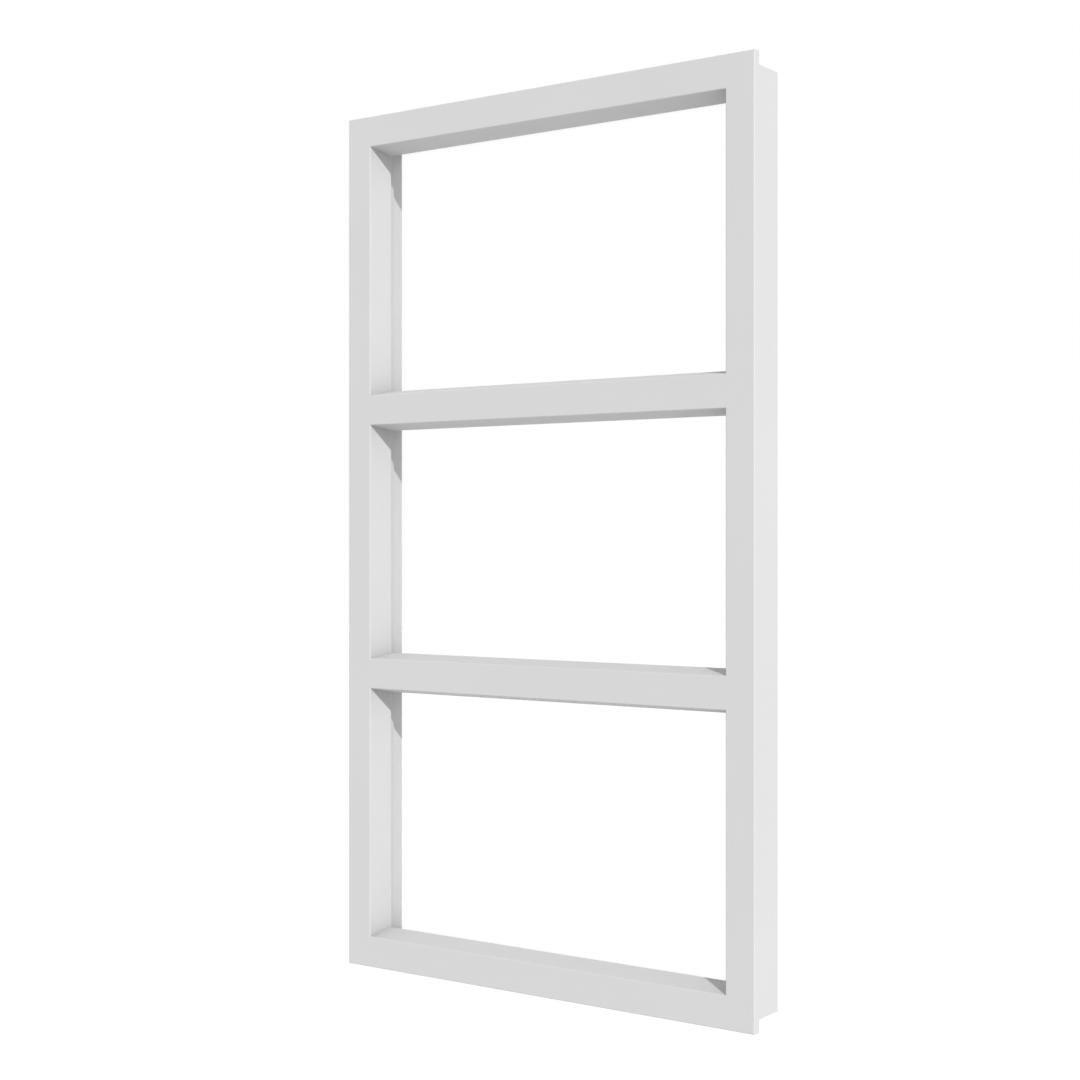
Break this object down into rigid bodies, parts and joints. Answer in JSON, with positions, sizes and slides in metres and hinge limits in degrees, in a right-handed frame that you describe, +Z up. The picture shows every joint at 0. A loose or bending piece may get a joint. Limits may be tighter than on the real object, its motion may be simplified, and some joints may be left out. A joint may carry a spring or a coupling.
{
  "type": "fixed window",
  "caption": "Tall painted timber fixed window: three glazed lights stacked between two transoms, with a thin flange that laps over the wall round a deeper frame.",
  "frame": {"origin": "on the back face of the wall flange, in the middle of the strip under the sill, 6.5 mm above the flange's lower edge", "axes": "+Z up, +Y from the room or street face into the wall, +X to the right seen from the flange side"},
  "size_m": [0.816, 0.1, 1.5],
  "materials": {
    "painted_timber": "white paint, satin",
    "painted_bead": "white paint, satin",
    "clear_glass": "clear polished",
    "glazing_tape": "pale grey foam, matte",
    "setting_block": "black, matte"
  },
  "bodies": {
    "root": {"left_jamb": "painted_timber", "right_jamb": "painted_timber", "head": "painted_timber", "sill": "painted_timber", "upper_transom": "painted_timber", "lower_transom": "painted_timber", "top_glass": "clear_glass", "middle_glass": "clear_glass", "bottom_glass": "clear_glass", "top_front_tape": "glazing_tape", "middle_front_tape": "glazing_tape", "bottom_front_tape": "glazing_tape", "top_back_tape": "glazing_tape", "middle_back_tape": "glazing_tape", "bottom_back_tape": "glazing_tape", "top_setting_blocks": "setting_block", "middle_setting_blocks": "setting_block", "bottom_setting_blocks": "setting_block", "top_bead_bottom": "painted_bead", "top_bead_right": "painted_bead", "top_bead_top": "painted_bead", "top_bead_left": "painted_bead", "middle_bead_bottom": "painted_bead", "middle_bead_right": "painted_bead", "middle_bead_top": "painted_bead", "middle_bead_left": "painted_bead", "bottom_bead_bottom": "painted_bead", "bottom_bead_right": "painted_bead", "bottom_bead_top": "painted_bead", "bottom_bead_left": "painted_bead"}
  },
  "joints": []
}
